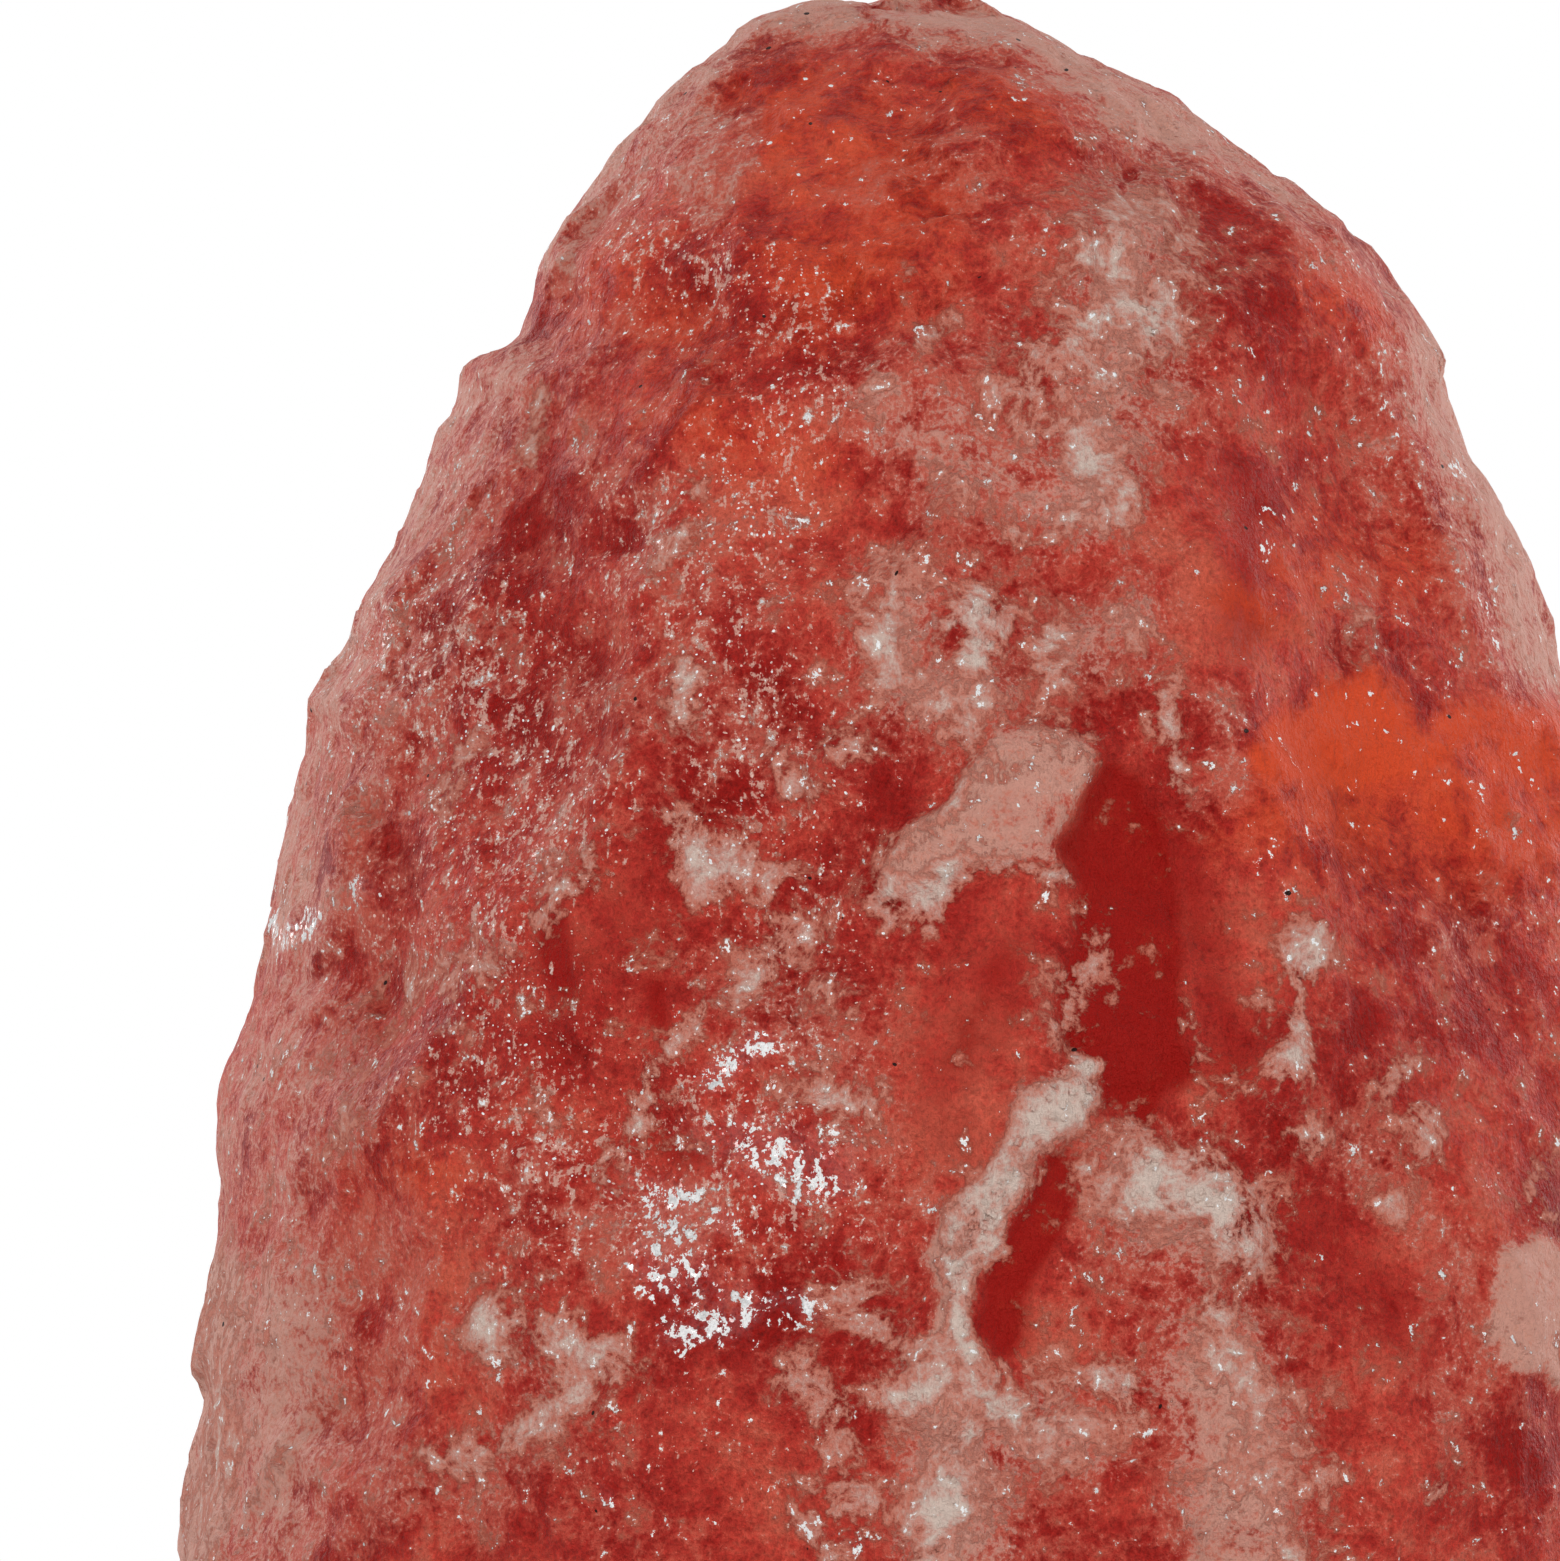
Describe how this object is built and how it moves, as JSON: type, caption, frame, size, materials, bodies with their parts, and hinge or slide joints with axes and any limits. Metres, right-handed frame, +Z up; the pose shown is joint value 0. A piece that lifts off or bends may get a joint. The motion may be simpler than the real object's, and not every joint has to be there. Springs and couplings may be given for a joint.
{
  "type": "salt crystal lamp",
  "caption": "Table lamp: a rough rock salt crystal on a turned wooden base, lit from a bore inside by a small screw-cap bulb on a clip-in lampholder.",
  "frame": {"origin": "on the surface that the feet stand on, under the middle of the lamp's box", "axes": "+Z up along the bore and bulb, -Y towards the viewer of the picture, +X to the right"},
  "size_m": [0.126, 0.116, 0.207],
  "materials": {
    "rock_salt": "rough natural crystal, hewn, translucent",
    "turned_wood": "turned, oiled",
    "black_rubber": "moulded, matte",
    "zinc_steel": "zinc plated",
    "spring_steel": "rolled, blued",
    "nylon": "moulded",
    "phenolic": "moulded, dark",
    "steatite": "unglazed",
    "bare_brass": "bright",
    "solder": "tinned",
    "black_glass": "glossy",
    "clear_glass": "blown, clear",
    "nickel_wire": "drawn",
    "tungsten": "coiled"
  },
  "bodies": {
    "lamp_body": {"salt_crystal": "rock_salt", "wooden_base": "turned_wood", "fixing_screws": "zinc_steel", "screw_plugs": "nylon", "rubber_feet": "black_rubber", "foot_screws": "zinc_steel"},
    "lamp_unit": {"mounting_plate": "zinc_steel", "lock_washer": "zinc_steel", "nipple_nut": "zinc_steel", "hollow_nipple": "zinc_steel", "holder_cap": "phenolic", "holder_shell": "phenolic", "contact_carrier": "steatite", "centre_terminal": "bare_brass", "side_terminal": "bare_brass", "terminal_screws": "bare_brass", "screw_shell": "bare_brass", "clip_feet": "spring_steel", "clip_rivets": "zinc_steel"},
    "left_clip": {"clip_left": "spring_steel"},
    "right_clip": {"clip_right": "spring_steel"},
    "tongue": {"centre_contact": "bare_brass"},
    "bulb_foot": {"bulb_tip_contact": "solder", "bulb_insulator": "black_glass"},
    "bulb": {"bulb_cap": "bare_brass", "bulb_glass": "clear_glass", "bulb_stem": "clear_glass", "lead_wires": "nickel_wire", "support_wires": "nickel_wire", "filament": "tungsten"}
  },
  "joints": [
    {"name": "unit_slide", "type": "slide", "parent": "lamp_body", "child": "lamp_unit", "axis": [0, 0, -1], "range_m": [0, 0.105]},
    {"name": "left_clip_flex", "type": "hinge", "parent": "lamp_unit", "child": "left_clip", "pos_m": [-0.01627, 0, 0.0147], "axis": [0, 1, 0], "range_deg": [0, 5], "stiffness_Nm_per_rad": 1.5},
    {"name": "right_clip_flex", "type": "hinge", "parent": "lamp_unit", "child": "right_clip", "pos_m": [0.01627, 0, 0.0147], "axis": [0, -1, 0], "range_deg": [0, 5], "stiffness_Nm_per_rad": 1.5},
    {"name": "tongue_flex", "type": "hinge", "parent": "lamp_unit", "child": "tongue", "pos_m": [-0.0054, 0, 0.04135], "axis": [0, 1, 0], "range_deg": [0, 8], "stiffness_Nm_per_rad": 0.05},
    {"name": "bulb_lift", "type": "slide", "parent": "lamp_unit", "child": "bulb_foot", "axis": [0, 0, 1], "range_m": [0, 0.0127]},
    {"name": "bulb_turn", "type": "hinge", "parent": "bulb_foot", "child": "bulb", "pos_m": [0, 0, 0.0438], "axis": [0, 0, 1], "range_deg": [0, 1620]}
  ],
  "couplings": [
    {"joint": "bulb_turn", "follows": "bulb_lift", "rad_per_m": 2226.5}
  ]
}
